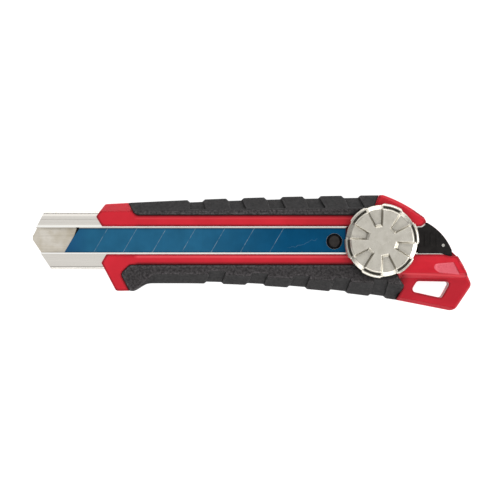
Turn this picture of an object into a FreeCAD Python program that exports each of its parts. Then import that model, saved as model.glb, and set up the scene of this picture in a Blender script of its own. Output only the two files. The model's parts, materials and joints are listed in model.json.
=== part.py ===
import FreeCAD, Part

import math
import os
import re

import Sketcher
from FreeCAD import Placement, Rotation, Vector

# Utility knife with snap-off blade, in millimetres.
# It lies on its back: X runs from the nose (-X) to the tail (+X), Y is up across the handle,
# Z points from the resting back towards the lock wheel.

DIMENSIONS = {
    # blade
    "blade_length": 100.0,
    "blade_width": 18.0,
    "blade_thick": 0.5,
    "blade_tip_x": -66.8,
    "segment_pitch": 10.0,
    "segment_count": 7,
    "snap_angle": 59.7,
    # channel of bent sheet that guides the blade
    "axis_y": 4.2,
    "channel_wall": 0.6,
    "channel_width": 19.7,
    "channel_depth": 5.2,
    "channel_bottom": 8.6,
    "window_half": 4.17,
    "nose_x": -75.1,
    # housing levels
    "back_z": 0.3,
    "split_z": 7.65,
    "front_z": 15.0,
    "strip_half": 4.75,
    "fit_gap": 0.05,
    "loop_drop": 2.3,
    # rubber grips
    "grip_proud": 0.3,
    "seat_depth": 0.8,
    "grip_side": 2.2,
    "notch_depth": 0.8,
    "upper_side_notch": 0.8,
    "lower_side_notch": 0.65,
    # slider
    "slider_width": 17.6,
    "slider_front": 22.0,
    "slider_rear": 54.0,
    "slider_bottom": 9.6,
    "slider_top": 13.1,
    "pin_x": 28.15,
    "pin_y": 3.85,
    "pin_radius": 2.65,
    # lock wheel
    "wheel_x": 43.96,
    "wheel_y": 4.0,
    "wheel_radius": 12.6,
    "wheel_bottom": 16.55,
    "wheel_height": 6.75,
    "pocket_depth": 1.2,
    "stud_radius": 2.45,
    "insert_radius": 3.6,
    "thread_gap": 0.05,
    "clamp_radius": 7.7,
    "clamp_thick": 0.95,
    "friction_radius": 7.0,
    "friction_thick": 0.5,
    # screws and dowels
    "screw_radius": 1.1,
    "screw_length": 5.6,
    "screw_sink": 2.9,
    "screw_head_radius": 1.8,
    "screw_head_thick": 1.5,
    "dowel_radius": 0.9,
    "dowel_length": 7.0,
}

doc = FreeCAD.newDocument("utility_knife")
sheet = doc.addObject("Spreadsheet::Sheet", "Sheet")
for row, (alias, number) in enumerate(DIMENSIONS.items(), start=1):
    sheet.set(f"A{row}", alias)
    sheet.set(f"B{row}", str(number))
    sheet.setAlias(f"B{row}", alias)
doc.recompute()

subparts = []


def dim(alias):
    """A driving dimension, read from the sheet."""
    return float(sheet.get(alias))


def bind(target, prop, formula):
    """Tie a property to a formula in which the sheet's aliases stand by name."""
    words = re.sub(r"[a-z]+_[a-z_]+", lambda found: "Sheet." + found.group(0), str(formula))
    target.setExpression(prop, words)


# ---------------------------------------------------------------- drawing and feature helpers


def new_body(name):
    return doc.addObject("PartDesign::Body", name)


def publish(shape_object, node):
    """Give a finished sub-part the label that names its file."""
    shape_object.Label = node
    subparts.append(shape_object)
    return shape_object


def sketch(body, name, role="XY_Plane", height="0"):
    """A sketch on one of the body's own origin planes, moved along the plane's normal."""
    plane = next(f for f in body.Origin.OriginFeatures if f.Role == role)
    drawn = body.newObject("Sketcher::SketchObject", name)
    drawn.AttachmentSupport = [(plane, "")]
    drawn.MapMode = "FlatFace"
    bind(drawn, ".AttachmentOffset.Base.z", height)
    return drawn


def outline(drawn, corners):
    """Closed outline. A corner is (x, y[, radius[, bow]]): the bow is how far the side that
    leaves the corner bulges to its left."""
    corners = [tuple(corner) + (0.0,) * (4 - len(corner)) for corner in corners]
    points = [Vector(corner[0], corner[1], 0) for corner in corners]
    arrive, leave = [], []
    for i, here in enumerate(points):
        back = (points[i - 1] - here).normalize()
        ahead = (points[(i + 1) % len(points)] - here).normalize()
        half_angle = back.getAngle(ahead) / 2
        radius = corners[i][2]
        reach = radius / math.tan(half_angle)
        arrive.append(here + back * reach)
        leave.append(here + ahead * reach)
        if radius:
            inward = (back + ahead).normalize()
            middle = here + inward * (radius / math.sin(half_angle) - radius)
            drawn.addGeometry(Part.Arc(arrive[i], middle, leave[i]), False)
    for i, corner in enumerate(corners):
        start = leave[i]
        end = arrive[(i + 1) % len(points)]
        left = Vector(start.y - end.y, end.x - start.x, 0).normalize()
        if corner[3]:
            side = Part.Arc(start, (start + end) * 0.5 + left * corner[3], end)
        else:
            side = Part.LineSegment(start, end)
        drawn.addGeometry(side, False)
    return drawn


def rectangle(x_from, x_to, y_from, y_to, radius=0.0):
    return [(x_from, y_from, radius), (x_to, y_from, radius), (x_to, y_to, radius), (x_from, y_to, radius)]


def circle(drawn, radius, x="0", y="0"):
    """A full circle whose radius and centre follow the sheet."""
    index = drawn.addGeometry(Part.Circle(Vector(0, 0, 0), Vector(0, 0, 1), 1.0), False)
    for kind, formula, prop in (("Radius", radius, "radius"), ("DistanceX", x, "x"), ("DistanceY", y, "y")):
        if kind == "Radius":
            constraint = drawn.addConstraint(Sketcher.Constraint(kind, index, 1.0))
        else:
            constraint = drawn.addConstraint(Sketcher.Constraint(kind, -1, 1, index, 3, 0.0))
        bind(drawn, f"Constraints[{constraint}]", formula)
    return drawn


def extrude(body, drawn, kind, length, flip=False):
    made = body.newObject("PartDesign::" + kind, drawn.Name + "_" + kind.lower())
    made.Profile = drawn
    made.Reversed = flip
    bind(made, "Length", length)
    return made


def block(body, name, corners, bottom, height):
    """Material over an outline, from a level upwards."""
    return extrude(body, outline(sketch(body, name, height=bottom), corners), "Pad", height)


def cut(body, name, corners, top, depth):
    """A pocket over an outline, from a level downwards."""
    return extrude(body, outline(sketch(body, name, height=top), corners), "Pocket", depth)


def disc(body, name, radius, bottom, height, x="0", y="0"):
    return extrude(body, circle(sketch(body, name, height=bottom), radius, x, y), "Pad", height)


def bore(body, name, radius, top, depth, x="0", y="0"):
    return extrude(body, circle(sketch(body, name, height=top), radius, x, y), "Pocket", depth)


def turned(body, name, profile, kind="Revolution", angle=360.0, start=0.0):
    """A turned feature about the body's Z axis. The profile holds (radius, height) corners."""
    drawn = sketch(body, name, role="XZ_Plane")
    outline(drawn, profile)
    if start:
        drawn.AttachmentOffset = Placement(Vector(0, 0, 0), Rotation(Vector(0, 1, 0), start))
    made = body.newObject("PartDesign::" + kind, name + "_turned")
    made.Profile = drawn
    made.ReferenceAxis = (drawn, ["V_Axis"])
    made.Angle = angle
    made.Midplane = angle < 360.0
    return made


def slope_sketch(body, name, slope, lift=0.0):
    """A sketch on a sloping face: its x runs along the ridge, its y goes outwards and down."""
    drawn = body.newObject("Sketcher::SketchObject", name)
    drawn.AttachmentSupport = [(next(f for f in body.Origin.OriginFeatures if f.Role == "XY_Plane"), "")]
    drawn.MapMode = "FlatFace"
    turn = Rotation(Vector(0, 0, 1), slope["heading"]).multiply(Rotation(Vector(1, 0, 0), -slope["fall"]))
    normal = turn.multVec(Vector(0, 0, 1))
    drawn.AttachmentOffset = Placement(Vector(*slope["ridge"]) + normal * lift, turn)
    return drawn


def shave(body, name, slope, corners, height=9.0):
    """Cut away what stands above a sloping face, over an outline drawn on that face."""
    return extrude(body, outline(slope_sketch(body, name, slope), corners), "Pocket", height, flip=True)


class Rim:
    """A long shallow arc of the handle's edge, from one end point to the other."""

    def __init__(self, start, end, bow):
        a, b = Vector(*start, 0), Vector(*end, 0)
        chord = b - a
        self.radius = chord.Length**2 / (8 * bow) + bow / 2
        left = Vector(-chord.y, chord.x, 0).normalize()
        self.centre = (a + b) * 0.5 + left * (bow - self.radius)

    def y(self, x):
        return self.centre.y + math.sqrt(self.radius**2 - (x - self.centre.x) ** 2)

    def at(self, x):
        return (x, self.y(x))

    def bow(self, x_from, x_to):
        span = math.hypot(x_to - x_from, self.y(x_to) - self.y(x_from))
        return self.radius - math.sqrt(self.radius**2 - span**2 / 4)


# ---------------------------------------------------------------- outlines shared by the sub-parts

AXIS = dim("axis_y")
FRONT = dim("front_z")
SPLIT = dim("split_z")

upper_rim = Rim((-50.0, 16.6), (44.9, 19.68), 0.58)
lower_rim = Rim((-25.0, -10.5), (49.4, -16.2), 1.4)

TAIL_TOP = (70.25, -1.12)
TAIL_SHOULDER = (72.5, -4.9)
LOOP_RIGHT = (75.15, -11.0)
LOOP_FOOT = (69.05, -20.05)
CAP_TOP = (59.45, 10.5)
CAP_LOW = (68.4, 0.6)
CAP_BOW = 1.05

FRONT_LOBE = [(-35.8, -10.5, 6.0), (-40.1, -13.1, 0.9), (-41.6, -13.0)]
LANYARD_HOLE = [
    (56.4, -9.75, 1.3),
    (67.9, -9.95, 0.9),
    (64.8, -15.5, 0.9),
    (54.3, -13.2, 1.1),
]


def handle_outline():
    """The whole handle seen from the front, clockwise from its upper front corner."""
    return [
        (*upper_rim.at(-50.0), 0.8, upper_rim.bow(-50.0, 44.9)),
        (*upper_rim.at(44.9), 0.8, 0.6),
        (58.75, 12.1, 0.9),
        (*CAP_TOP, 0.0, CAP_BOW),
        CAP_LOW,
        (*TAIL_TOP, 0.6),
        (*TAIL_SHOULDER, 2.0),
        (*LOOP_RIGHT, 2.4),
        (*LOOP_FOOT, 3.0),
        (*lower_rim.at(49.4), 0.0, -lower_rim.bow(49.4, -25.0)),
        lower_rim.at(-25.0),
        *FRONT_LOBE,
        (-46.2, -13.05, 1.2),
        (-51.3, -3.3, 0.8),
        (-53.0, 12.3, 0.8),
    ]


def beyond(inner, edge, share=0.5):
    """The point reached by running on past the edge, along the line from an inner point."""
    return (edge[0] + (edge[0] - inner[0]) * share, edge[1] + (edge[1] - inner[1]) * share)


def upper_grip_outline(overrun=False):
    """Rubber along the upper edge. With the overrun it runs out past the handle's edge."""
    front_inner, rear_inner = (-40.2, 13.6), (40.7, 12.9)
    front, rear = upper_rim.at(-42.1), upper_rim.at(43.4)
    outer = [(*front, 0.0, upper_rim.bow(front[0], rear[0])), rear]
    if overrun:
        outer = [beyond(front_inner, front), beyond(rear_inner, rear)]
    return [(-39.1, 12.9, 0.4), (*front_inner, 0.4), *outer, (*rear_inner, 0.6)]


def lower_grip_outline(overrun=False):
    """Rubber along the lower edge, with the lobe in front that stops the finger."""
    front_inner, rear_inner = (-44.4, -7.7), (52.0, -11.3)
    front, rear = FRONT_LOBE[-1], lower_rim.at(49.25)
    outer = [(*rear, 0.0, -lower_rim.bow(rear[0], -25.0)), lower_rim.at(-25.0), *FRONT_LOBE]
    if overrun:
        outer = [beyond(rear_inner, rear), beyond(front_inner, front)]
    return [
        (-41.5, -4.2, 0.6),
        (48.0, -4.2, 0.6),
        (49.3, -7.25, 2.0),
        (*rear_inner, 0.8),
        *outer,
        (*front_inner, 0.6),
        (-44.1, -6.6, 1.0),
    ]


def slope(ridge, heading, fall, level):
    """A sloping face: a point of its ridge, the ridge's direction and how steeply it falls."""
    return {"ridge": (*ridge, level), "heading": heading, "fall": fall}


def upper_slope(level):
    return slope((0.0, 14.55), 0.6, 50.0, level)


def shave_upper(body, name, level):
    """The long sloping face along the upper edge."""
    return shave(body, name, upper_slope(level), rectangle(-60.0, 60.0, -2.0, 12.0))


LOWER_BEND = (-12.0, -7.35)
LOWER_TURN = 3.2
LOWER_FALL = 46.0
LOBE_BEND = (-33.5, -7.35)
LOBE_TURN = 42.8


def lower_rear_slope(level):
    return slope(LOWER_BEND, 180.0 - LOWER_TURN, LOWER_FALL, level)


def mitre(turn):
    """How fast the line where two such slopes meet leans, on the slope, for a turn of their ridge."""
    return math.cos(math.radians(LOWER_FALL)) * math.tan(math.radians(turn / 2))


def shave_lower(body, name, level):
    """Three sloping faces along the lower edge: the last one runs out at the tip of the front lobe."""
    above, below = -2.0, 12.0
    rear_mitre, lobe_mitre = mitre(LOWER_TURN), mitre(LOBE_TURN)
    span = LOWER_BEND[0] - LOBE_BEND[0]
    rear = [(-74.0, above), (-above * rear_mitre, above), (-below * rear_mitre, below), (-74.0, below)]
    middle = [
        (above * rear_mitre, above),
        (span - above * lobe_mitre, above),
        (span - below * lobe_mitre, below),
        (below * rear_mitre, below),
    ]
    lobe = [(above * lobe_mitre, above), (14.0, above), (14.0, below), (below * lobe_mitre, below)]
    shave(body, name + "_rear", lower_rear_slope(level), rear)
    shave(body, name + "_middle", slope(LOWER_BEND, 180.0, LOWER_FALL, level), middle)
    shave(body, name + "_lobe", slope(LOBE_BEND, 180.0 + LOBE_TURN, LOWER_FALL, level), lobe)


# ---------------------------------------------------------------- rubber grips and their seats


def upper_core():
    """What is left of the housing under the upper grip."""
    body = new_body("upper_core")
    reach, side = 60.0, dim("grip_side")
    block(
        body,
        "upper_core_outline",
        [
            (-reach, 8.0),
            (-reach, upper_rim.y(-reach) - side, 0.0, upper_rim.bow(-reach, reach)),
            (reach, upper_rim.y(reach) - side),
            (reach, 8.0),
        ],
        "split_z - 1",
        "front_z - seat_depth - split_z + 1",
    )
    shave_upper(body, "upper_core_slope", FRONT - 1.6)
    return body


def lower_core():
    """What is left of the housing under the lower grip."""
    body = new_body("lower_core")
    reach, side = 60.0, dim("grip_side")
    block(
        body,
        "lower_core_outline",
        [
            (-reach, -1.0),
            (reach, -1.0),
            (reach, lower_rim.y(reach) + side, 0.0, -lower_rim.bow(reach, -25.0)),
            (-25.0, lower_rim.y(-25.0) + side),
            (-reach, lower_rim.y(-25.0) + side),
        ],
        "split_z - 1",
        "front_z - seat_depth - split_z + 1",
    )
    shave_lower(body, "lower_core_slope", FRONT - 1.6)
    return body


def minus(base, *tools, name):
    """The base without the tools."""
    left = base
    for i, tool in enumerate(tools):
        made = doc.addObject("Part::Cut", f"{name}_{i}")
        made.Base = left
        made.Tool = tool
        left = made
    return left


def seat(name, grip_corners, core):
    """The room that a grip takes out of the housing."""
    body = new_body(name + "_room")
    block(body, name + "_room_outline", grip_corners, "split_z - 1", "front_z - split_z + 3")
    return minus(body, core, name=name)


def on_slope(face, x, y):
    """Where a point seen in plan lies on a sloping face, in the face's own axes."""
    heading, fall = math.radians(face["heading"]), math.radians(face["fall"])
    right, up = x - face["ridge"][0], y - face["ridge"][1]
    along = right * math.cos(heading) + up * math.sin(heading)
    outwards = up * math.cos(heading) - right * math.sin(heading)
    return along, outwards / math.cos(fall)


def slope_notches(body, name, face, places, rim, start):
    """Slanted pockets, their floors parallel to the slope, from near its ridge out past the rim."""
    lift = 0.6
    drawn = slope_sketch(body, name, face, lift)
    for near_from, near_to, rim_from, rim_to in places:
        near = [(on_slope(face, x, 0.0)[0], start) for x in (near_from, near_to)]
        far = [on_slope(face, x, rim.y(x)) for x in (rim_from, rim_to)]
        outline(drawn, [*near, beyond(near[1], far[1]), beyond(near[0], far[0])])
    return extrude(body, drawn, "Pocket", f"notch_depth + {lift}")


def side_notches(body, name, places, rim, depth, outwards):
    """The same notches carried down the side, between lugs with slanted corners."""
    clear = 1.0
    drawn = sketch(body, name, height="front_z + grip_proud")
    for _, _, rim_from, rim_to in places:
        flare = depth + clear
        outline(
            drawn,
            [
                (rim_from, rim.y(rim_from) - outwards * depth),
                (rim_to, rim.y(rim_to) - outwards * depth),
                (rim_to + flare, rim.y(rim_to) + outwards * clear),
                (rim_from - flare, rim.y(rim_from) + outwards * clear),
            ],
        )
    return extrude(body, drawn, "Pocket", "front_z + grip_proud - split_z")


# Each notch: from and to near the ridge, then from and to at the rim.
UPPER_NOTCHES = [
    (-20.9, -15.6, -21.2, -16.9),
    (-7.0, -1.8, -8.0, -3.6),
    (6.4, 11.7, 5.0, 9.7),
    (19.6, 25.3, 18.1, 22.8),
    (33.2, 38.7, 31.5, 36.4),
]
LOWER_NOTCHES = [
    (-13.8, -8.4, -15.6, -10.4),
    (0.7, 6.0, -1.6, 3.9),
    (15.1, 20.3, 12.7, 18.2),
    (28.9, 34.3, 26.9, 32.0),
    (42.4, 47.0, 40.4, 45.2),
]
UPPER_NOTCH_START = 0.75
LOWER_NOTCH_START = -1.2


def upper_grip(name, core):
    body = new_body(name + "_skin")
    top = FRONT + dim("grip_proud")
    block(body, name + "_outline", upper_grip_outline(), "split_z", "front_z + grip_proud - split_z")
    shave_upper(body, name + "_slope", top)
    slope_notches(body, name + "_notches", upper_slope(top), UPPER_NOTCHES, upper_rim, UPPER_NOTCH_START)
    side_notches(body, name + "_side", UPPER_NOTCHES, upper_rim, dim("upper_side_notch"), 1)
    return minus(body, core, name=name)


def lower_grip(name, core):
    body = new_body(name + "_skin")
    top = FRONT + dim("grip_proud")
    block(body, name + "_outline", lower_grip_outline(), "split_z", "front_z + grip_proud - split_z")
    shave_lower(body, name + "_slope", top)
    slope_notches(body, name + "_notches", lower_rear_slope(top), LOWER_NOTCHES, lower_rim, LOWER_NOTCH_START)
    side_notches(body, name + "_side", LOWER_NOTCHES, lower_rim, dim("lower_side_notch"), -1)
    return minus(body, core, name=name)


def mirrored(source, name):
    """The same piece on the other side of the plane where the housing halves meet."""
    made = doc.addObject("Part::Mirroring", name)
    made.Source = source
    made.Normal = Vector(0, 0, 1)
    bind(made, "Base.z", "split_z")
    return made


# ---------------------------------------------------------------- housing halves

SCREW_PLACES = [(-46.45, -7.35), (38.9, -9.6), (46.2, 15.6), (71.2, -9.8)]
DOWEL_PLACES = [(-46.5, 15.4), (58.0, -7.6)]
LOWER_WELL = SCREW_PLACES[1]


TAIL_RIDGE = (60.0, -2.95)
TAIL_FALL = 11.8
STEP_RIDGE = (60.0, -6.9)


def shell_blank(name):
    """One half of the housing, drawn face up: outline, lanyard loop, sloping edges and tail."""
    body = new_body(name)
    block(body, name + "_outline", handle_outline(), "split_z", "front_z - split_z")
    cut(body, name + "_loop", LANYARD_HOLE, "front_z", "front_z - split_z")
    shave(body, name + "_upper_edge", upper_slope(FRONT), rectangle(-60.0, -41.0, 0.0, 12.0))
    loop_level = [
        (46.0, -24.0),
        beyond((52.0, -11.3), lower_rim.at(49.25)),
        (52.0, -11.3, 0.8),
        (50.2, -8.6),
        (80.0, -8.6),
        (80.0, -24.0),
    ]
    cut(body, name + "_loop_level", loop_level, "front_z", "loop_drop")
    tail_slope = slope(TAIL_RIDGE, 180.0, TAIL_FALL, FRONT)
    shave(body, name + "_tail_slope", tail_slope, [(-20.0, 0.0), (11.6, 0.0), (10.1, 4.3), (9.7, 6.0), (-20.0, 6.0)])
    step_level = FRONT - (TAIL_RIDGE[1] - STEP_RIDGE[1]) * math.tan(math.radians(TAIL_FALL))
    step_slope = slope(STEP_RIDGE, 180.0, 40.0, step_level)
    shave(body, name + "_tail_step", step_slope, [(-20.0, 0.0), (9.7, 0.0), (8.9, 2.28), (-20.0, 2.28)], height=3.0)
    pad_lift = 0.5
    pad_sketch = slope_sketch(body, name + "_tail_pad", tail_slope, pad_lift)
    outline(pad_sketch, [(-2.1, 0.9, 1.2), (-3.6, 3.95, 1.5), (-11.0, 4.6, 0.4), (-8.8, 0.4, 0.4)])
    extrude(body, pad_sketch, "Pocket", f"{pad_lift} + 0.25")
    return body


def edge_band(body, name, start, end, level, width):
    """A 45 degree band along a straight stretch of the outline, taken clockwise."""
    along = Vector(end[0] - start[0], end[1] - start[1], 0)
    length = along.Length
    inward = Vector(along.y, -along.x, 0).normalize() * width
    heading = math.degrees(math.atan2(along.y, along.x))
    ridge = (start[0] + inward.x, start[1] + inward.y)
    band = rectangle(-1.5, length + 1.5, 0.0, 6.0)
    return shave(body, name, slope(ridge, heading, 45.0, level), band, height=5.0)


def outer_bands(body, name):
    """Lighter bands round the rear crown and the lanyard loop."""
    crown_start, crown_middle, crown_end = upper_rim.at(44.9), (52.1, 16.3), (58.75, 12.1)
    loop = FRONT - dim("loop_drop")
    step_end = (73.9, -8.15)
    bands = [
        (crown_start, crown_middle, FRONT, 0.9),
        (crown_middle, crown_end, FRONT, 0.9),
        (TAIL_TOP, TAIL_SHOULDER, FRONT - 0.3, 0.6),
        (TAIL_SHOULDER, step_end, FRONT - 0.75, 0.35),
        (step_end, LOOP_RIGHT, loop, 0.7),
        (LOOP_RIGHT, LOOP_FOOT, loop, 0.7),
        (LOOP_FOOT, lower_rim.at(49.4), loop, 1.1),
    ]
    for i, (start, end, level, width) in enumerate(bands):
        edge_band(body, f"{name}_{i}", start, end, level, width)


def tunnel_range():
    half = dim("channel_width") / 2 + dim("fit_gap")
    return AXIS - half, AXIS + half


def front_housing(seats):
    body = shell_blank("front_shell")
    low, high = tunnel_range()
    cut(
        body,
        "channel_tunnel",
        rectangle(-70.0, 90.0, low, high),
        "channel_bottom + channel_depth + fit_gap",
        "channel_depth + fit_gap",
    )
    strip = dim("strip_half")
    window = [
        (-54.9, 15.3),
        (-51.0, AXIS + strip),
        (57.8, AXIS + strip, 1.2),
        (59.4, 10.4, 0.8),
        (59.6, 13.0),
        (90.0, 13.0),
        (90.0, TAIL_TOP[1]),
        (67.0, TAIL_TOP[1]),
        (65.0, AXIS - strip),
        (-49.5, AXIS - strip),
        (-52.6, -5.8),
        (-62.0, -5.8),
        (-62.0, 15.3),
    ]
    cut(body, "blade_window", window, "front_z", "front_z - channel_bottom - channel_depth")
    for i, (x, y) in enumerate(SCREW_PLACES):
        bore(body, f"pilot_{i}", "screw_radius + 0.02", "split_z + 3.2", "3.2", x, y)
    for i, (x, y) in enumerate(DOWEL_PLACES):
        bore(body, f"front_dowel_hole_{i}", "dowel_radius + 0.02", "split_z + 3.6", "3.6", x, y)
    outer_bands(body, "front_band")
    return publish(minus(body, *seats, name="front_half"), "front_housing")


def rear_housing(seats):
    """Drawn face up like the front half, then mirrored to the back."""
    body = shell_blank("rear_shell")
    floor_top = FRONT - 1.8
    depth = f"{floor_top} - split_z"
    bays = [(-47.5, -26.0), (-24.5, -3.0), (-1.5, 20.0), (21.5, 34.0)]
    for i, (x_from, x_to) in enumerate(bays):
        cut(body, f"bay_{i}", rectangle(x_from, x_to, -3.6, 11.9, 1.5), f"{floor_top}", depth)
    cut(body, "back_panel", rectangle(-38.0, 50.0, -1.6, 10.2, 3.0), "front_z", "0.5")
    for i, (x, y) in enumerate(SCREW_PLACES):
        bore(body, f"head_well_{i}", "screw_head_radius + 0.15", "front_z", "screw_sink + screw_head_thick + 0.2", x, y)
        bore(body, f"shank_hole_{i}", "screw_radius + 0.1", "front_z", "front_z - split_z", x, y)
    for i, (x, y) in enumerate(DOWEL_PLACES):
        bore(body, f"rear_dowel_hole_{i}", "dowel_radius + 0.02", "split_z + 3.6", "3.6", x, y)
    outer_bands(body, "rear_band")
    return publish(mirrored(minus(body, *seats, name="rear_half"), "rear_half_mirrored"), "rear_housing")


def rear_lower_grip(skin):
    """The mirrored lower grip, with a well for the screw behind it."""
    well = new_body("grip_well")
    disc(well, "grip_well_disc", "screw_head_radius + 0.3", "split_z - 1", "front_z", *LOWER_WELL)
    return publish(mirrored(minus(skin, well, name="rear_lower"), "rear_lower_mirrored"), "rear_lower_grip")


def fasteners(name, profile, places):
    """Equal turned pieces standing at several places, kept together as one node."""
    body = new_body(name + "_one")
    turned(body, name + "_profile", profile)
    doc.recompute()
    copies = []
    for x, y in places:
        copy = body.Shape.copy()
        copy.translate(Vector(x, y, 0))
        copies.append(copy)
    group = doc.addObject("Part::Feature", name + "_group")
    group.Shape = Part.makeCompound(copies)
    return publish(group, name)


def housing_screws():
    head_low = dim("back_z") + dim("screw_sink")
    head_top = head_low + dim("screw_head_thick")
    radius, head = dim("screw_radius"), dim("screw_head_radius")
    tip = head_top + dim("screw_length")
    profile = [
        (0.0, head_low + 0.8),
        (0.8, head_low + 0.8),
        (0.8, head_low),
        (head, head_low, 0.3),
        (head, head_top),
        (radius, head_top),
        (radius, tip - 0.8),
        (0.4, tip),
        (0.0, tip),
    ]
    return fasteners("housing_screws", profile, SCREW_PLACES)


def alignment_dowels():
    half, radius = dim("dowel_length") / 2, dim("dowel_radius")
    low, top = SPLIT - half, SPLIT + half
    profile = [(0.0, low), (radius - 0.2, low), (radius, low + 0.2), (radius, top - 0.2), (radius - 0.2, top), (0.0, top)]
    return fasteners("alignment_dowels", profile, DOWEL_PLACES)


# ---------------------------------------------------------------- blade channel and blade


def blade_channel():
    body = new_body("channel")
    wall, half = dim("channel_wall"), dim("channel_width") / 2
    low, top = dim("channel_bottom"), dim("channel_bottom") + dim("channel_depth")
    lip = dim("window_half")
    left, right = AXIS - half, AXIS + half
    bend, inner_bend = 1.0, 0.4
    section = [
        (left, low, bend),
        (left, top, bend),
        (AXIS - lip, top),
        (AXIS - lip, top - wall),
        (left + wall, top - wall, inner_bend),
        (left + wall, low + wall, inner_bend),
        (right - wall, low + wall, inner_bend),
        (right - wall, top - wall, inner_bend),
        (AXIS + lip, top - wall),
        (AXIS + lip, top),
        (right, top, bend),
        (right, low, bend),
    ]
    drawn = outline(sketch(body, "channel_section", "YZ_Plane", "nose_x"), section)
    extrude(body, drawn, "Pad", "68 - nose_x")
    nose_x = dim("nose_x")
    tip = (nose_x - 0.35, 4.9)
    nose = [beyond(tip, (-70.7, right)), (*tip, 1.5), beyond(tip, (-68.3, left)), (-84.0, -9.0), (-84.0, 17.0)]
    cut(body, "nose_cut", nose, "front_z", "front_z")
    rear = [(49.9, 16.0), (59.1, 9.9, 1.5), (65.4, -0.6, 2.0), (67.6, -7.5), (80.0, -7.5), (80.0, 16.0)]
    cut(body, "rear_cut", rear, "front_z", "front_z")
    for i, (start, end) in enumerate([(-71.1, -63.6), (-61.7, -54.4)]):
        cut(body, f"crease_{i}", rectangle(start, end, 11.1, 11.45), "channel_bottom + channel_depth", "0.15")
    block(body, "front_stop", rectangle(-56.0, -53.5, AXIS - 3, AXIS + 3, 0.8), "channel_bottom + channel_wall", "1.6")
    return publish(body, "blade_channel")


def snap_off_blade():
    body = new_body("blade")
    tip_x, width, length = dim("blade_tip_x"), dim("blade_width"), dim("blade_length")
    low, high = AXIS - width / 2, AXIS + width / 2
    lean = 1 / math.tan(math.radians(dim("snap_angle")))
    tail_x = tip_x + length
    plate = [(tip_x, low), (tip_x + width * lean, high), (tail_x, high, 1.0), (tail_x, low + 2), (tail_x - 2, low)]
    block(body, "blade_plate", plate, "slider_top - blade_thick", "blade_thick")
    bore(body, "blade_hole", "pin_radius + 0.1", "slider_top", "blade_thick", "pin_x", "pin_y")
    scores = sketch(body, "score_lines", height="slider_top")
    line_half = 0.14
    for i in range(int(dim("segment_count"))):
        foot = tip_x + (i + 1) * dim("segment_pitch")
        x_low, x_high = foot + 1.2 * lean, foot + (width - 0.6) * lean
        y_low, y_high = low + 1.2, high - 0.6
        line = [
            (x_low - line_half, y_low),
            (x_high - line_half, y_high),
            (x_high + line_half, y_high),
            (x_low + line_half, y_low),
        ]
        outline(scores, line)
    extrude(body, scores, "Pocket", "0.14")
    top, middle, bottom = dim("slider_top"), dim("slider_top") - 0.25, dim("slider_top") - 0.5
    ground = sketch(body, "cutting_edge", "YZ_Plane", "blade_tip_x - 2")
    outline(ground, [(low - 1, top + 1), (low + 1.1, top + 1), (low + 1.1, top), (low, middle), (low - 1, middle)])
    extrude(body, ground, "Pocket", "blade_length + 4", flip=True)
    relief = sketch(body, "cutting_edge_back", "YZ_Plane", "blade_tip_x - 2")
    outline(relief, [(low - 1, bottom - 1), (low - 1, middle), (low, middle), (low + 1.1, bottom), (low + 1.1, bottom - 1)])
    extrude(body, relief, "Pocket", "blade_length + 4", flip=True)
    return publish(body, "snap_off_blade")


# ---------------------------------------------------------------- slider


def slider_plate():
    body = new_body("slider")
    half = dim("slider_width") / 2
    front, rear = dim("slider_front"), dim("slider_rear")
    low, high = AXIS - half, AXIS + half
    plate = [(front, low, 1.5), (rear, low, 1.0), (rear, high, 1.0), (front, high, 1.5)]
    block(body, "slider_outline", plate, "slider_bottom", "slider_top - slider_bottom")
    tail_x = dim("blade_tip_x") + dim("blade_length") + 0.4
    ledge = rectangle(front - 1, tail_x, low - 1, high + 1)
    cut(body, "blade_ledge", ledge, "slider_top", "blade_thick")
    spring_room = rectangle(23.6, 38.9, AXIS - 2.9, AXIS + 2.9)
    cut(body, "spring_room", spring_room, "slider_bottom + 0.9", "0.9")
    bore(body, "stud_head_room", "4.92", "slider_bottom + 1.5", "1.5", "wheel_x", "wheel_y")
    bore(body, "stud_hole", "stud_radius + 0.02", "slider_top", "slider_top - slider_bottom", "wheel_x", "wheel_y")
    bore(body, "pin_hole", "1.22", "slider_top", "2.6", "pin_x", "pin_y")
    return publish(body, "slider_plate")


def blade_pin():
    body = new_body("pin")
    seat_z = dim("slider_top") - dim("blade_thick")
    radius = dim("pin_radius")
    profile = [
        (0.0, seat_z - 2.0),
        (1.2, seat_z - 2.0),
        (1.2, seat_z),
        (radius, seat_z),
        (radius, seat_z + 0.7),
        (radius - 0.75, seat_z + 2.3, 0.4),
        (0.0, seat_z + 2.3),
    ]
    turned(body, "pin_profile", profile)
    body.Placement = Placement(Vector(dim("pin_x"), dim("pin_y"), 0), Rotation())
    return publish(body, "blade_pin")


def lock_stud():
    body = new_body("stud")
    low, radius = dim("slider_bottom") + 0.1, dim("stud_radius")
    top = dim("wheel_bottom") + 5.1
    profile = [
        (0.0, low),
        (4.9, low, 0.3),
        (4.9, low + 1.38),
        (radius, low + 1.38),
        (radius, top - 0.4),
        (radius - 0.4, top),
        (0.0, top),
    ]
    turned(body, "stud_profile", profile)
    body.Placement = Placement(Vector(dim("wheel_x"), dim("wheel_y"), 0), Rotation())
    return publish(body, "lock_stud")


def slider_shoe():
    """Nylon shoe that rides in the window and carries the clamp washer."""
    body = new_body("shoe")
    front, rear = dim("slider_front") + 10.0, dim("slider_rear")
    neck, crown = dim("window_half") - 0.12, dim("strip_half") - 0.1
    block(body, "shoe_neck", rectangle(front, rear, AXIS - neck, AXIS + neck, 1.2), "slider_top", "0.8")
    block(body, "shoe_crown", rectangle(front, rear, AXIS - crown, AXIS + crown, 0.6), "slider_top + 0.8", "1.0")
    bore(body, "shoe_hole", "stud_radius + 0.05", "front_z", "front_z - slider_top", "wheel_x", "wheel_y")
    return publish(body, "slider_shoe")


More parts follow.
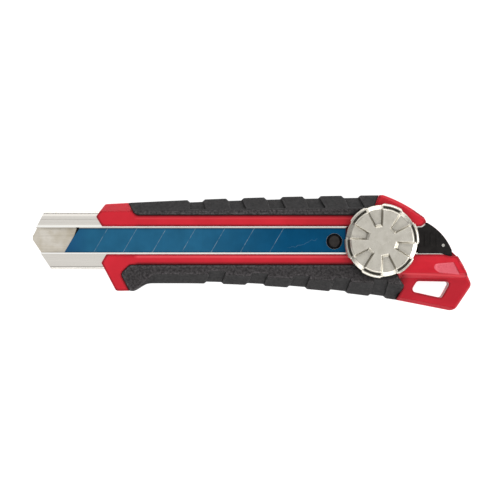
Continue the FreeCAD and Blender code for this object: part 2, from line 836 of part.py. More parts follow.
def leaf_spring():
    body = new_body("spring")
    drawn = sketch(body, "spring_profile", "XZ_Plane", "-axis_y")
    low, sag, thick = dim("channel_bottom") + dim("channel_wall"), 0.7, 0.25
    start, end = 24.0, 38.5
    ends_z = low + 0.05 + sag
    outline(
        drawn,
        [(start, ends_z, 0, -sag), (end, ends_z), (end, ends_z + thick, 0, sag), (start, ends_z + thick)],
    )
    made = extrude(body, drawn, "Pad", "5")
    made.Midplane = True
    return publish(body, "leaf_spring")


# ---------------------------------------------------------------- lock wheel


def ring(name, radius, hole, bottom, height):
    body = new_body(name + "_ring")
    disc(body, name + "_disc", radius, bottom, height, "wheel_x", "wheel_y")
    bore(body, name + "_hole", hole, f"{bottom} + {height}", height, "wheel_x", "wheel_y")
    return publish(body, name)


WHEEL_TURN = -17.3


def wheel_sector(body, name, height, inset, inner):
    """A sector's outline, its two straight walls drawn in by the inset."""
    half = math.radians(15.0)
    outer = 14.5
    drawn = sketch(body, name, height=height)
    near_half = inner * math.tan(half) - inset / math.cos(half)
    far_half = outer * math.tan(half) - inset / math.cos(half)
    return outline(drawn, [(inner, -near_half), (outer, -far_half), (outer, far_half), (inner, near_half)])


def lock_wheel():
    """Die-cast wheel of twelve equal sectors; every second one is sunk between sloping walls."""
    body = new_body("wheel")
    radius, low = dim("wheel_radius"), dim("wheel_bottom")
    top = low + dim("wheel_height")
    hub, insert = 5.2, dim("insert_radius")
    profile = [
        (insert, low),
        (hub, low),
        (hub, low + 4.0, 0.5),
        (10.6, low + 4.0, 0.8),
        (10.9, low),
        (radius - 0.4, low),
        (radius, low + 0.5),
        (radius, top - 1.7, 0.3),
        (radius - 0.3, top - 1.15, 0.2),
        (11.7, top - 0.8, 0.2),
        (11.4, top - 1.75),
        (11.2, top - 1.75),
        (10.95, top - 0.65, 0.2),
        (10.4, top, 0.3),
        (0.0, top),
        (0.0, low + 5.25),
        (insert, low + 5.25),
    ]
    turned(body, "wheel_profile", profile)
    pocket_top = wheel_sector(body, "pocket_top", "wheel_bottom + wheel_height + 0.2", -0.1, 4.4)
    pocket_floor = wheel_sector(body, "pocket_floor", "wheel_bottom + wheel_height - pocket_depth", 0.6, 5.6)
    pocket = body.newObject("PartDesign::SubtractiveLoft", "sector_pocket")
    pocket.Profile = pocket_top
    pocket.Sections = [pocket_floor]
    pocket.Ruled = True
    floor = top - dim("pocket_depth")
    rim = [(10.6, floor), (12.1, floor - 1.2), (12.1, low - 1.0), (15.0, low - 1.0), (15.0, floor)]
    rim_cut = turned(body, "sector_rim", rim, kind="Groove", angle=30.0)
    pattern = body.newObject("PartDesign::PolarPattern", "sectors")
    pattern.Originals = [pocket, rim_cut]
    pattern.Axis = (next(f for f in body.Origin.OriginFeatures if f.Role == "Z_Axis"), [""])
    pattern.Angle = 360.0
    pattern.Occurrences = 6
    body.Tip = pattern
    turn = Rotation(Vector(0, 0, 1), WHEEL_TURN)
    body.Placement = Placement(Vector(dim("wheel_x"), dim("wheel_y"), 0), turn)
    return publish(body, "lock_wheel")


# ---------------------------------------------------------------- end cap


def end_cap():
    """Closes the channel behind the slider and breaks off used blade segments in its slot."""
    body = new_body("cap")
    back = [
        (53.7, 13.75),
        (55.4, 13.75),
        (58.3, 11.85, 0.6),
        (59.25, 10.4, 0.0, CAP_BOW),
        (68.15, 0.85),
        (68.25, TAIL_TOP[1] - 0.2),
        (69.6, TAIL_TOP[1] - 0.2),
        (71.8, -4.6),
        (72.1, -5.4),
        (67.35, -5.4),
        (65.75, -0.5),
        (59.45, 10.0),
    ]
    block(body, "cap_back", back, "channel_bottom + 0.1", "channel_depth - 0.2")
    tongue = [(56.3, -4.7), (56.3, 11.9), (57.5, 11.9), (60.2, 9.6), (66.5, -0.5), (67.8, -4.7)]
    block(body, "cap_tongue", tongue, "channel_bottom + channel_wall + 0.1", "slider_top - channel_bottom - 0.7")
    stem = [(56.6, 0.3), (56.6, 8.1), (60.6, 8.1), (59.85, 9.35), (66.3, 0.9), (66.3, 0.3)]
    block(body, "cap_stem", stem, "slider_top - 0.05", "channel_bottom + channel_depth - slider_top + 0.15")
    crown = [
        (56.6, -0.25),
        (56.6, 8.65),
        (58.0, 8.65, 0.8),
        (59.0, 9.4),
        (59.75, 10.2, 0.0, 1.05),
        (68.1, 1.0, 0.3),
        (68.2, -0.7),
        (66.2, -0.7),
        (64.5, -0.25),
    ]
    block(body, "cap_crown", crown, "channel_bottom + channel_depth + 0.1", "front_z - 0.35 - channel_bottom - channel_depth")
    for i, x in enumerate((59.3, 61.2, 63.2)):
        block(body, f"cap_rib_{i}", rectangle(x - 0.35, x + 0.35, 2.3, 6.7, 0.3), "front_z - 0.25", "0.35")
    slot = rectangle(55.0, 62.0, -3.6, 7.2)
    cut(body, "insert_room", slot, "slider_bottom + 2.3", "1.4")
    bore(body, "cap_pin_hole", "0.52", "front_z", "front_z - channel_bottom - 1", "65.2", "2.5")
    return publish(body, "end_cap")


def snapper_insert():
    """Folded steel lining of the slot that grips a blade segment."""
    body = new_body("insert_fold")
    block(body, "fold", rectangle(56.4, 62.0, -3.5, 7.1), "slider_bottom + 0.92", "1.36")
    cut(body, "fold_slot", rectangle(55.0, 61.6, -4.0, 8.0), "slider_bottom + 2.0", "0.8")
    return publish(body, "snapper_insert")


def cap_pin():
    body = new_body("cap_pin_rod")
    disc(body, "cap_pin_disc", "0.5", "channel_bottom + 1.1", "front_z - channel_bottom - 1.2", "65.2", "2.5")
    return publish(body, "cap_pin")


# ---------------------------------------------------------------- assembly and export


def build():
    core_above, core_below = upper_core(), lower_core()
    seats = [
        seat("upper_seat", upper_grip_outline(overrun=True), core_above),
        seat("lower_seat", lower_grip_outline(overrun=True), core_below),
    ]
    front_housing(seats)
    rear_housing(seats)
    above = publish(upper_grip("front_upper", core_above), "front_upper_grip")
    below = publish(lower_grip("front_lower", core_below), "front_lower_grip")
    publish(mirrored(above, "rear_upper_mirrored"), "rear_upper_grip")
    rear_lower_grip(below)
    housing_screws()
    alignment_dowels()
    blade_channel()
    snap_off_blade()
    slider_plate()
    blade_pin()
    lock_stud()
    slider_shoe()
    leaf_spring()
    ring("clamp_washer", "clamp_radius", "stud_radius + 0.15", "front_z + 0.05", "clamp_thick")
    ring("friction_washer", "friction_radius", "stud_radius + 0.15", "front_z + 0.05 + clamp_thick", "friction_thick")
    ring("wheel_insert", "insert_radius", "stud_radius + thread_gap", "wheel_bottom", "5.2")
    lock_wheel()
    end_cap()
    snapper_insert()
    cap_pin()
    doc.recompute()


def check():
    """Stop at any failed feature, any cut that removed nothing and any unsound shape."""
    faults = []
    for item in doc.Objects:
        if any(state in ("Invalid", "Error") for state in item.State):
            faults.append(f"{item.Name} failed: {item.State}")
        if item.TypeId in ("PartDesign::Pocket", "PartDesign::Groove", "PartDesign::SubtractiveLoft"):
            if item.BaseFeature.Shape.Volume - item.Shape.Volume < 1e-3:
                faults.append(f"{item.Name} cuts nothing")
    for item in subparts:
        if item.Shape.isNull() or not item.Shape.isValid():
            faults.append(f"{item.Label} has no sound shape")
    if faults:
        raise RuntimeError("; ".join(faults))


def export():
    os.makedirs("parts", exist_ok=True)
    for item in subparts:
        item.Shape.exportStep(f"parts/{item.Label}.step")
        box = item.Shape.BoundBox
        print(
            f"{item.Label}: {len(item.Shape.Solids)} solid(s), {item.Shape.Volume:.0f} mm3, "
            f"x {box.XMin:.2f}..{box.XMax:.2f} y {box.YMin:.2f}..{box.YMax:.2f} z {box.ZMin:.2f}..{box.ZMax:.2f}"
        )


build()
check()
export()
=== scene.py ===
import json
import math

import bpy
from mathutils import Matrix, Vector

# Utility knife on its back, seen from straight above. Metres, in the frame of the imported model.

MM = 0.001
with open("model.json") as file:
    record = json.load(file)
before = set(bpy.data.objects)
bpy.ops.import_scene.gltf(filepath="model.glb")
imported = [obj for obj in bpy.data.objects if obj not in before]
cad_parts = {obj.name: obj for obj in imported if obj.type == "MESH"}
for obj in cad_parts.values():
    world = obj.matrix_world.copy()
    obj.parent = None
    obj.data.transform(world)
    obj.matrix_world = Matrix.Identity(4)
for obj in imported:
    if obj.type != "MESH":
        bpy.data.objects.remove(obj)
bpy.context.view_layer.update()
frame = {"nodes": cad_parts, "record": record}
nodes = frame["nodes"]

# The blade: its tip on the cutting edge, the height of that edge, its scores' pitch and their slant.
BLADE_TIP = -66.8 * MM
BLADE_LOW = -4.8 * MM
PITCH = 10.0 * MM
LEAN = 1.0 / math.tan(math.radians(59.7))

# Above this height the surface belongs to the front of the knife.
FRONT_HALF = 9.0 * MM

# The blade pin ends before this point along the knife, and the end cap starts after it.
PIN_END = 35.0 * MM

# Where the blade goes under the upper edge of the channel's window.
WINDOW_TOP = 8.4 * MM

# Stretches noise along the knife, as rolling and drawing do.
ROLLED = (40, 0.12, 0.12)

WHITE = (1.0, 1.0, 1.0)
# The near-black of the painted shadow along the blade's front edge.
EDGE_SHADOW_BLACK = (0.006, 0.006, 0.007)
# A light red used as a painted highlight on the red plastic.
RED_HIGHLIGHT = (0.84, 0.075, 0.095)


# ---------------------------------------------------------------- material helpers


class Look:
    """A procedural material: the shader's own values, and short calls that add texture nodes."""

    def __init__(self, name, **values):
        self.material = bpy.data.materials.new(name)
        self.material.use_nodes = True
        self.tree = self.material.node_tree
        self.shader = self.tree.nodes["Principled BSDF"]
        self.place = self.add("ShaderNodeTexCoord").outputs["Object"]
        for socket, value in values.items():
            self.set(socket, value)

    def add(self, kind, **values):
        """A new texture node with its settings."""
        node = self.tree.nodes.new(kind)
        for key, value in values.items():
            setattr(node, key, value)
        return node

    def link(self, source, target):
        """Join an output to an input."""
        self.tree.links.new(source, target)

    def set(self, socket, value):
        """Set a value of the shader, named with underscores."""
        self.shader.inputs[socket.replace("_", " ").title().replace("Ior", "IOR")].default_value = value

    def stretched(self, scale):
        """Object coordinates scaled per axis, in cells per metre."""
        mapping = self.add("ShaderNodeMapping")
        mapping.inputs["Scale"].default_value = scale
        self.link(self.place, mapping.inputs["Vector"])
        return mapping.outputs["Vector"]

    def noise(self, size, detail=3.0, stretch=(1, 1, 1), rough=0.5):
        """Noise whose blobs are about that many millimetres across."""
        node = self.add("ShaderNodeTexNoise")
        node.inputs["Scale"].default_value = 1.0
        node.inputs["Detail"].default_value = detail
        node.inputs["Roughness"].default_value = rough
        cells = 1.0 / (size * MM)
        self.link(self.stretched([cells / s for s in stretch]), node.inputs["Vector"])
        return node.outputs["Fac"]

    def spread(self, factor, low, high, low_at=0.3, high_at=0.7):
        """Map a factor to a range of numbers."""
        node = self.add("ShaderNodeMapRange")
        self.link(factor, node.inputs["Value"])
        node.inputs["From Min"].default_value = low_at
        node.inputs["From Max"].default_value = high_at
        node.inputs["To Min"].default_value = low
        node.inputs["To Max"].default_value = high
        return node.outputs["Result"]

    def ramp(self, factor, stops):
        """Colours that follow a factor."""
        node = self.add("ShaderNodeValToRGB")
        elements = node.color_ramp.elements
        for i, (position, colour) in enumerate(stops):
            element = elements[i] if i < 2 else elements.new(position)
            element.position = position
            element.color = (*colour, 1.0)
        self.link(factor, node.inputs["Fac"])
        return node.outputs["Color"]

    def separate(self, vector, axis):
        """One component of a vector."""
        node = self.add("ShaderNodeSeparateXYZ")
        self.link(vector, node.inputs[0])
        return node.outputs[axis]

    def spot(self):
        """Where the point lies along the knife and across it."""
        return self.separate(self.place, "X"), self.separate(self.place, "Y")

    def math(self, operation, *values):
        """One sum or test; each value is a socket or a plain number."""
        node = self.add("ShaderNodeMath", operation=operation)
        for socket, value in zip(node.inputs, values):
            if isinstance(value, bpy.types.NodeSocket):
                self.link(value, socket)
            else:
                socket.default_value = value
        return node.outputs[0]

    def all_of(self, first, *others):
        """Masks multiplied together: one only where all of them are."""
        for other in others:
            first = self.math("MULTIPLY", first, other)
        return first

    def mix(self, factor, first, second, kind="MIX"):
        """Blend two colours; each value is a socket or a plain number or colour."""
        node = self.add("ShaderNodeMix", data_type="RGBA", blend_type=kind)
        for socket, value in (("Factor_Float", factor), ("A_Color", first), ("B_Color", second)):
            target = next(i for i in node.inputs if i.identifier == socket)
            if isinstance(value, bpy.types.NodeSocket):
                self.link(value, target)
            elif isinstance(value, tuple):
                target.default_value = (*value, 1.0)
            else:
                target.default_value = value
        return next(o for o in node.outputs if o.identifier == "Result_Color")

    def times(self, colour, other):
        """One colour multiplied by another."""
        return self.mix(1.0, colour, other, "MULTIPLY")

    def shaded(self, colour, factor, stops):
        """Multiply a colour by greys that follow a factor."""
        return self.times(colour, self.ramp(factor, [(at, (grey,) * 3) for at, grey in stops]))

    def band(self, value, low, high, soft):
        """One between two limits of a value and zero outside them."""
        rise = self.spread(value, 0.0, 1.0, low - soft / 2, low + soft / 2)
        fall = self.spread(value, 1.0, 0.0, high - soft / 2, high + soft / 2)
        return self.all_of(rise, fall)

    def across(self, low, high, stops):
        """Greys across the knife, with the ends and the stops given in millimetres."""
        height = self.spread(self.separate(self.place, "Y"), 0.0, 1.0, low * MM, high * MM)
        return self.ramp(height, [((y - low) / (high - low), (grey,) * 3) for y, grey in stops])

    def front(self):
        """One on the front of the knife and zero on its back half."""
        return self.math("GREATER_THAN", self.separate(self.place, "Z"), FRONT_HALF)

    def edges(self, radius):
        """One on open faces, falling to about 0.7 at a square edge within that many millimetres; it sets
        where shade and highlights are painted at edges.
        """
        soft = self.add("ShaderNodeBevel", samples=8)
        soft.inputs["Radius"].default_value = radius * MM
        match = self.add("ShaderNodeVectorMath", operation="DOT_PRODUCT")
        self.link(soft.outputs["Normal"], match.inputs[0])
        self.link(self.add("ShaderNodeNewGeometry").outputs["Normal"], match.inputs[1])
        return match.outputs["Value"]

    def hollows(self, reach):
        """One in the open, falling where other surfaces stand within that many millimetres; it sets
        where shade is painted.
        """
        node = self.add("ShaderNodeAmbientOcclusion", samples=8)
        node.inputs["Distance"].default_value = reach * MM
        return node.outputs["AO"]

    def facing(self):
        """How far the surface faces the front or the back: one on the flat, zero on the sides; it sets
        where shade and highlights are painted by slope.
        """
        normal = self.add("ShaderNodeNewGeometry").outputs["Normal"]
        return self.math("ABSOLUTE", self.separate(normal, "Z"))

    def colour(self, source):
        """Use a colour for the whole surface."""
        self.link(source, self.shader.inputs["Base Color"])

    def rough(self, source):
        """Use a roughness for the whole surface."""
        self.link(source, self.shader.inputs["Roughness"])

    def bump(self, height, depth):
        """Raise the surface by up to that many millimetres."""
        node = self.add("ShaderNodeBump")
        node.inputs["Strength"].default_value = 1.0
        node.inputs["Distance"].default_value = depth * MM
        self.link(height, node.inputs["Height"])
        self.link(node.outputs["Normal"], self.shader.inputs["Normal"])


# ---------------------------------------------------------------- materials


def tail_pad_highlight(look):
    """Where the tail's recessed pad lies, painted lighter as a highlight: rounded to the left, and with
    three slanting sides.
    """
    x, y = look.spot()
    right_slant, top_slant, foot_slant = 0.52, -0.076, 0.088
    leaning = look.math("MULTIPLY_ADD", y, right_slant, x)
    below_top = look.math("MULTIPLY_ADD", x, top_slant, y)
    above_foot = look.math("MULTIPLY_ADD", x, foot_slant, y)
    off_middle = look.math("ADD", y, 4.9 * MM)
    bulge = look.math("MULTIPLY", off_middle, off_middle)
    rounded = look.math("MULTIPLY_ADD", bulge, -0.5 / MM, x)
    left = look.spread(rounded, 0.0, 1.0, 62.0 * MM, 62.3 * MM)
    right = look.spread(leaning, 1.0, 0.0, 66.8 * MM, 67.1 * MM)
    top = look.spread(below_top, 1.0, 0.0, -8.7 * MM, -8.4 * MM)
    foot = look.spread(above_foot, 0.0, 1.0, -1.35 * MM, -1.05 * MM)
    return look.all_of(left, right, top, foot, look.front())


def strip_shade_and_highlights(look, tone):
    """The long strips beside the window: painted shade along the rubber and the window, and a painted
    highlight on each.
    """
    x, y = look.spot()
    where = look.all_of(look.band(x, -39.5 * MM, 46.0 * MM, 1.5 * MM), look.front())
    # Greys of painted shade across the strips, darkest along the rubber and the window.
    lower = [(-4.6, 1.0), (-4.4, 0.25), (-3.9, 0.34), (-3.6, 0.47), (-3.3, 0.72), (-2.9, 1.0),
             (-0.9, 1.0), (-0.5, 0.7)]
    upper = [(9.1, 0.5), (9.4, 0.7), (9.7, 0.95), (10.1, 1.0), (11.8, 1.0), (12.1, 0.85),
             (12.4, 0.6), (12.7, 0.3), (13.0, 0.3), (13.2, 1.0)]
    shaded = look.times(tone, look.across(-4.7, 13.3, lower + upper))
    # Painted highlights along both strips.
    lower_strip_highlight = look.band(y, -1.75 * MM, -1.1 * MM, 0.5 * MM)
    upper_strip_highlight = look.math("MULTIPLY", look.band(y, 11.4 * MM, 11.85 * MM, 0.35 * MM), 0.4)
    strip_highlight = look.math("ADD", lower_strip_highlight, upper_strip_highlight)
    return look.mix(where, tone, look.mix(strip_highlight, shaded, RED_HIGHLIGHT))


def tail_shade_and_highlight(look, tone):
    """The tail below its ridge painted darker as shade, with a painted highlight along the ridge."""
    x, y = look.spot()
    ridge_slant = 0.045
    level = look.math("MULTIPLY_ADD", x, ridge_slant, y)
    where = look.all_of(look.spread(x, 0.0, 1.0, 46.0 * MM, 49.0 * MM), look.front())
    # Painted shade: the tail below its ridge is darkened.
    low = look.all_of(where, look.spread(level, 1.0, 0.0, -6.4 * MM, -5.2 * MM))
    tone = look.mix(low, tone, look.times(tone, (0.8, 0.8, 0.85)))
    # A painted highlight along the ridge.
    ridge = look.all_of(where, look.band(level, -4.95 * MM, -4.6 * MM, 0.5 * MM))
    return look.mix(look.math("MULTIPLY", ridge, 0.6), tone, RED_HIGHLIGHT)


def moulded_red(name, deep, bright):
    """Satin plastic with a fine grain; painted shade on its edges, sloping faces and hollows, and
    painted highlights just inside its edges and on the tail's pad.
    """
    look = Look(name, roughness=0.34, ior=1.5, specular_ior_level=0.2)
    tone = look.ramp(look.noise(9.0, 3.0), [(0.35, deep), (0.65, bright)])
    # Painted shade on the edges and painted highlights just inside them.
    red_edge_light_and_shade = [(0.7, 0.15), (0.88, 0.5), (0.95, 0.88), (0.98, 1.12), (1.0, 1.0)]
    tone = look.shaded(tone, look.edges(2.0), red_edge_light_and_shade)
    # Painted shade on sloping faces.
    tone = look.shaded(tone, look.facing(), [(0.3, 1.0), (0.6, 0.8), (0.9, 0.8), (1.0, 1.0)])
    # Painted shade in hollows and where parts meet.
    tone = look.shaded(tone, look.hollows(3.0), [(0.3, 0.35), (0.7, 0.75), (0.92, 1.0)])
    tone = tail_shade_and_highlight(look, strip_shade_and_highlights(look, tone))
    # The pad is painted a lighter red as a highlight.
    pad_highlight_red = look.ramp(look.noise(0.5, 3.0), [(0.3, (0.74, 0.11, 0.145)), (0.7, (0.82, 0.15, 0.19))])
    look.colour(look.mix(tail_pad_highlight(look), tone, pad_highlight_red))
    look.rough(look.spread(look.noise(2.5, 4.0), 0.3, 0.4))
    look.bump(look.noise(0.22, 3.0), 0.008)
    return look.material


def grained_rubber():
    """Mottled dark rubber with a coarse grain, painted highlights on its ridge lines, and painted shade
    on its notch walls, in its hollows and on sloping faces.
    """
    look = Look("black_rubber", roughness=0.6, ior=1.5, specular_ior_level=0.25)
    dark, light = (0.014, 0.012, 0.0125), (0.074, 0.067, 0.069)
    tone = look.ramp(look.noise(0.8, 6.0, rough=0.7), [(0.38, dark), (0.62, light)])
    # Painted highlights on the ridge lines and painted shade on the notch walls.
    rubber_edge_light_and_shade = [(0.7, 0.15), (0.87, 0.6), (0.93, 2.1), (0.97, 1.8), (1.0, 0.95)]
    tone = look.shaded(tone, look.edges(1.5), rubber_edge_light_and_shade)
    # Painted shade in hollows.
    tone = look.shaded(tone, look.hollows(2.5), [(0.5, 0.1), (0.85, 0.45), (0.97, 1.0)])
    # Painted shade on sloping faces.
    rubber_slope_shade = [(0.0, 0.75), (0.3, 0.6), (0.6, 0.27), (0.9, 0.3), (1.0, 1.0)]
    look.colour(look.shaded(tone, look.facing(), rubber_slope_shade))
    look.rough(look.spread(look.noise(1.2, 3.0), 0.45, 0.62))
    look.bump(look.noise(0.28, 4.0, rough=0.6), 0.05)
    return look.material


def black_plastic():
    """Near-black plastic, with painted highlights on the end cap's bevels and on the blade pin's flat
    top.
    """
    look = Look("black_plastic", roughness=0.45, specular_ior_level=0.18)
    tone = look.ramp(look.noise(1.5, 3.0), [(0.3, (0.008, 0.0065, 0.006)), (0.7, (0.015, 0.013, 0.012))])
    # Painted highlights on the end cap's bevels.
    cap = look.shaded(tone, look.facing(), [(0.2, 1.0), (0.6, 6.0), (0.92, 6.0), (1.0, 1.0)])
    # A painted highlight on the blade pin's flat top, with its sides painted darker.
    pin = look.shaded(tone, look.facing(), [(0.9, 0.7), (0.97, 3.2)])
    on_pin = look.math("LESS_THAN", look.separate(look.place, "X"), PIN_END)
    look.colour(look.mix(on_pin, cap, pin))
    look.rough(look.spread(look.noise(1.0, 3.0), 0.38, 0.55))
    look.bump(look.noise(0.25, 3.0), 0.015)
    return look.material


def brushed(name, dark, light, roughness, grain=ROLLED):
    """Plain metal with a grain, faint stains and painted highlights on its edges."""
    look = Look(name, metallic=1.0, roughness=roughness)
    tone = look.ramp(look.noise(1.0, 3.0, grain), [(0.3, dark), (0.7, light)])
    stain = look.ramp(look.noise(7.0, 3.0), [(0.35, (0.93, 0.9, 0.84)), (0.65, WHITE)])
    tone = look.times(tone, stain)
    # Painted highlights on the edges.
    look.colour(look.shaded(tone, look.edges(0.8), [(0.7, 1.4), (0.9, 1.3), (1.0, 1.0)]))
    look.rough(look.spread(look.noise(0.8, 3.0, grain), roughness - 0.05, roughness + 0.08))
    look.bump(look.noise(1.0, 2.0, grain), 0.002)
    return look.material


def blade_foot(look, x, y):
    """Where a line with the slant of the scores, drawn through a point, meets the cutting edge."""
    height = look.math("SUBTRACT", y, BLADE_LOW)
    return look.math("SUBTRACT", x, look.math("MULTIPLY", height, LEAN))


def channel_sheet():
    """Rolled sheet with a warm, cloudy floor, painted highlights on its bends and lips, painted shade
    beside them and in a thin crease, and a painted shadow ahead of the blade.
    """
    look = Look("stainless_sheet", metallic=1.0, roughness=0.27)
    x, y = look.spot()
    rolled = look.noise(1.0, 3.0, ROLLED)
    tone = look.ramp(rolled, [(0.3, (0.69, 0.66, 0.61)), (0.7, (0.79, 0.76, 0.71))])
    floor = look.band(y, 0.1 * MM, 8.5 * MM, 0.2 * MM)
    cloudy = look.ramp(look.noise(3.5, 4.0), [(0.3, (0.78, 0.73, 0.63)), (0.7, (1.0, 0.98, 0.94))])
    tone = look.mix(floor, tone, look.times(tone, cloudy))
    # Greys across the front: painted highlights on the bends and lips, and painted shade beside them and
    # in the crease.
    lower_bend = [(-5.6, 0.5), (-5.35, 0.8), (-5.1, 0.92), (-4.95, 0.88), (-4.8, 0.6), (-4.55, 1.0)]
    lower_lip = [(-0.45, 1.0), (-0.3, 1.5), (-0.05, 1.5), (0.1, 0.8), (0.35, 1.0)]
    upper_lip = [(8.3, 1.0), (8.55, 0.72), (8.75, 1.5), (9.3, 1.4), (9.5, 1.0)]
    crease = [(11.1, 1.0), (11.3, 0.74), (11.5, 1.0)]
    upper_bend = [(12.3, 1.0), (12.6, 1.35), (13.2, 1.35), (13.5, 0.75), (13.8, 0.95)]
    fold_light_and_shade = lower_bend + lower_lip + upper_lip + crease + upper_bend
    tone = look.mix(look.front(), tone, look.times(tone, look.across(-5.7, 14.1, fold_light_and_shade)))

    # A painted shadow lies on the floor just ahead of the blade's slanted front edge, widest at the top.
    reach = look.spread(y, 0.0, 0.9 * MM, 4.4 * MM, WINDOW_TOP)
    ahead = look.math("SUBTRACT", blade_foot(look, x, y), BLADE_TIP)
    floor_shadow = look.all_of(
        look.math("GREATER_THAN", look.math("ADD", ahead, reach), 0.0),
        look.math("LESS_THAN", ahead, 0.2 * MM),
        look.math("GREATER_THAN", reach, 0.0),
        look.math("LESS_THAN", y, WINDOW_TOP + 0.2 * MM),
        look.front(),
    )
    floor_shadow_black = (0.02, 0.02, 0.02)
    look.colour(look.mix(floor_shadow, tone, floor_shadow_black))
    look.rough(look.spread(look.noise(0.8, 3.0, ROLLED), 0.22, 0.35))
    look.bump(look.noise(1.0, 2.0, ROLLED), 0.002)
    return look.material


def cast_zinc():
    """Satin casting with painted highlights on its edges and painted shade in its corners."""
    look = Look("zinc", metallic=1.0, roughness=0.3)
    tone = look.ramp(look.noise(1.6, 4.0), [(0.3, (0.56, 0.53, 0.46)), (0.7, (0.65, 0.62, 0.55))])
    # Painted shade in corners and hollows.
    tone = look.shaded(tone, look.hollows(1.6), [(0.35, 0.3), (0.75, 0.65), (0.93, 1.0)])
    # Painted highlights on the edges.
    look.colour(look.shaded(tone, look.edges(0.9), [(0.7, 1.3), (0.93, 1.35), (1.0, 1.0)]))
    look.rough(look.spread(look.noise(0.5, 3.0), 0.26, 0.38))
    look.bump(look.noise(0.3, 3.0), 0.004)
    return look.material


def blued_steel():
    """Blue coating, navy towards the tail, bright in the score lines, with painted shade under the
    window's edges and a painted black shadow along its front.
    """
    look = Look("blue_blade", metallic=1.0, roughness=0.4)
    x, y = look.spot()
    along = look.spread(x, 0.0, 1.0, -20.0 * MM, 12.0 * MM)
    tone = look.ramp(along, [(0.0, (0.026, 0.155, 0.29)), (1.0, (0.006, 0.093, 0.212))])
    tone = look.shaded(tone, look.noise(5.0, 3.0), [(0.3, 0.9), (0.7, 1.08)])
    nose = look.spread(x, 1.0, 0.0, -64.0 * MM, -55.5 * MM)
    tone = look.mix(look.math("MULTIPLY", nose, 0.7), tone, (0.016, 0.075, 0.21))
    # Painted shade where the blade runs under the window's edges.
    window_edge_shade = [(0.0, 0.55), (0.35, 0.75), (0.6, 1.0), (7.7, 1.0), (7.95, 0.7), (8.3, 0.5)]
    tone = look.times(tone, look.across(-0.2, 8.8, window_edge_shade))

    # The scores lie whole pitches from the tip. Half a pitch is added so that each one falls at 0.5.
    foot = blade_foot(look, x, y)
    shifted = look.math("SUBTRACT", foot, BLADE_TIP - 0.5 * PITCH)
    part_of_pitch = look.math("FRACT", look.math("DIVIDE", shifted, PITCH))
    line = look.band(part_of_pitch, 0.49, 0.51, 0.012)
    scored = look.band(foot, BLADE_TIP + 0.4 * PITCH, BLADE_TIP + 7.5 * PITCH, 0.1 * MM)
    worn = look.spread(look.noise(1.3, 3.0), 0.0, 0.75)
    tone = look.mix(look.all_of(line, scored, worn), tone, (0.42, 0.56, 0.66))

    # One thin, faint scratch near the blade's tail, which wanders with the noise.
    scratch_slant = -0.32
    wander = look.spread(look.noise(2.2, 4.0), 1.9 * MM, 3.3 * MM)
    sloping = look.math("MULTIPLY_ADD", x, scratch_slant, y)
    off_line = look.math("ABSOLUTE", look.math("ADD", sloping, wander))
    thin = look.spread(off_line, 0.22, 0.0, 0.05 * MM, 0.16 * MM)
    scratch = look.all_of(thin, look.band(x, 12.5 * MM, 22.0 * MM, 1.5 * MM))
    tone = look.mix(scratch, tone, (0.25, 0.42, 0.55))

    # A painted black shadow along the slanted front edge is widest at the window's upper edge.
    reach = look.spread(y, 0.0, 0.4 * MM, 3.9 * MM, WINDOW_TOP)
    edge_shadow = look.math("LESS_THAN", look.math("SUBTRACT", foot, BLADE_TIP), reach)
    look.colour(look.mix(edge_shadow, tone, EDGE_SHADOW_BLACK))
    look.rough(look.spread(look.noise(0.6, 3.0, (0.1, 20, 1)), 0.34, 0.46))
    look.bump(look.noise(0.5, 2.0, (0.1, 30, 1)), 0.001)
    return look.material


def plain_nylon():
    """Off-white nylon with a faint mottle."""
    look = Look("white_nylon", roughness=0.5)
    look.colour(look.ramp(look.noise(1.0, 3.0), [(0.3, (0.62, 0.60, 0.55)), (0.7, (0.7, 0.68, 0.63))]))
    look.bump(look.noise(0.3, 3.0), 0.01)
    return look.material


LOOKS = {
    "red_plastic": moulded_red("red_plastic", (0.64, 0.014, 0.029), (0.72, 0.018, 0.036)),
    "red_nylon": moulded_red("red_nylon", (0.36, 0.008, 0.016), (0.42, 0.010, 0.02)),
    "black_rubber": grained_rubber(),
    "black_plastic": black_plastic(),
    "white_nylon": plain_nylon(),
    "stainless_sheet": channel_sheet(),
    "steel": brushed("steel", (0.42, 0.42, 0.42), (0.55, 0.55, 0.54), 0.3),
    "blue_blade": blued_steel(),
    "zinc": cast_zinc(),
    "brass": brushed("brass", (0.60, 0.42, 0.14), (0.72, 0.52, 0.2), 0.3, (1, 1, 1)),
}

# How finely a node is rounded off: grain of the new surface in millimetres, rounds of smoothing
# and the share of faces kept.
ROUNDING = {
    "front_housing": (0.17, 8, 0.15),
    "rear_housing": (0.2, 5, 0.2),
    "front_upper_grip": (0.15, 7, 0.3),
    "front_lower_grip": (0.15, 7, 0.3),
    "rear_upper_grip": (0.2, 4, 0.3),
    "rear_lower_grip": (0.2, 4, 0.3),
    "lock_wheel": (0.11, 5, 0.35),
}

BEVELS = {
    "end_cap": 0.12,
    "slider_shoe": 0.2,
    "blade_pin": 0.1,
    "clamp_washer": 0.1,
    "housing_screws": 0.08,
}


def round_off(part, grain, turns, kept):
    """Give a moulded node the soft edges of its tool: a fine new surface, smoothed and thinned out."""
    remesh = part.modifiers.new("surface", "REMESH")
    remesh.mode = "VOXEL"
    remesh.voxel_size = grain * MM
    remesh.use_smooth_shade = True
    smooth = part.modifiers.new("smooth", "SMOOTH")
    smooth.factor = 0.5
    smooth.iterations = turns
    thin = part.modifiers.new("thin", "DECIMATE")
    thin.ratio = kept


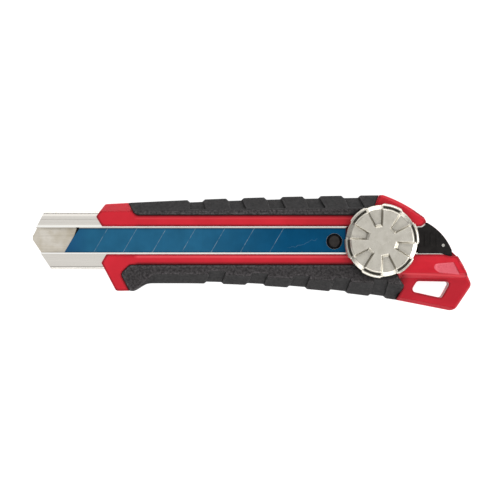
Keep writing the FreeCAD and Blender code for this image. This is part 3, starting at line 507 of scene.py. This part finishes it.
def bevel(part, width):
    """Round a node's sharp edges: merge the mesh's seams, drop its flat cuts and bevel it."""
    weld = part.modifiers.new("weld", "WELD")
    weld.merge_threshold = 0.001 * MM
    flat = part.modifiers.new("flat", "DECIMATE")
    flat.decimate_type = "DISSOLVE"
    flat.angle_limit = math.radians(1.0)
    edges = part.modifiers.new("bevel", "BEVEL")
    edges.width = width * MM
    edges.segments = 3
    edges.limit_method = "ANGLE"
    edges.angle_limit = math.radians(25.0)
    normals = part.modifiers.new("normals", "WEIGHTED_NORMAL")
    normals.keep_sharp = True


def finish_nodes():
    """Give each node its material and its soft edges."""
    slots = {part["node"]: part["material_slot"] for part in frame["record"]["subparts"]}
    for name, part in nodes.items():
        part.data.materials.clear()
        part.data.materials.append(LOOKS[slots[name]])
        for face in part.data.polygons:
            face.use_smooth = True
        if name in ROUNDING:
            round_off(part, *ROUNDING[name])
        elif name in BEVELS:
            bevel(part, BEVELS[name])


# ---------------------------------------------------------------- studio


def area_light(name, place, size, power):
    """A white panel that faces the knife."""
    data = bpy.data.lights.new(name, "AREA")
    data.shape = "RECTANGLE"
    data.size, data.size_y = size
    data.energy = power
    light = bpy.data.objects.new(name, data)
    light.location = place
    light.rotation_mode = "QUATERNION"
    light.rotation_quaternion = (-Vector(place)).to_track_quat("-Z", "Y")
    bpy.context.collection.objects.link(light)


def studio():
    """A pale floor just under the knife, a soft light from above and three round the sides."""
    floor_size, gap = 6.0, 0.2 * MM
    bpy.ops.mesh.primitive_plane_add(size=floor_size, location=(0, 0, -gap))
    floor = bpy.context.object
    floor.name = "floor"
    paper = Look("paper", roughness=0.9, emission_color=(*WHITE, 1.0), emission_strength=0.9)
    paper.colour(paper.ramp(paper.noise(40.0), [(0.3, (0.36, 0.36, 0.36)), (0.7, (0.4, 0.4, 0.4))]))
    floor.data.materials.append(paper.material)
    area_light("overhead", (0.0, 0.0, 1.5), (1.1, 1.1), 2.1)
    area_light("right", (0.95, -0.15, 0.35), (0.8, 0.5), 6.0)
    area_light("below", (-0.1, -0.95, 0.35), (1.5, 0.45), 6.0)
    area_light("above", (0.15, 0.95, 0.35), (1.4, 0.45), 5.5)
    world = bpy.data.worlds.new("studio")
    world.use_nodes = True
    sky = world.node_tree.nodes["Background"].inputs
    sky["Color"].default_value = (*WHITE, 1.0)
    sky["Strength"].default_value = 0.4
    bpy.context.scene.world = world
    bpy.context.scene.view_settings.view_transform = "Standard"


def camera():
    """Straight above the knife, with +X to the right and +Y up."""
    width_seen = 170.2 * MM
    face_height = 15.0 * MM
    distance = 0.8
    sensor = 36.0
    data = bpy.data.cameras.new("camera")
    data.sensor_width = sensor
    data.lens = sensor * distance / width_seen
    data.clip_start = 0.01
    eye = bpy.data.objects.new("camera", data)
    eye.location = (-0.6 * MM, 0.9 * MM, face_height + distance)
    bpy.context.collection.objects.link(eye)
    bpy.context.scene.camera = eye


finish_nodes()
studio()
camera()
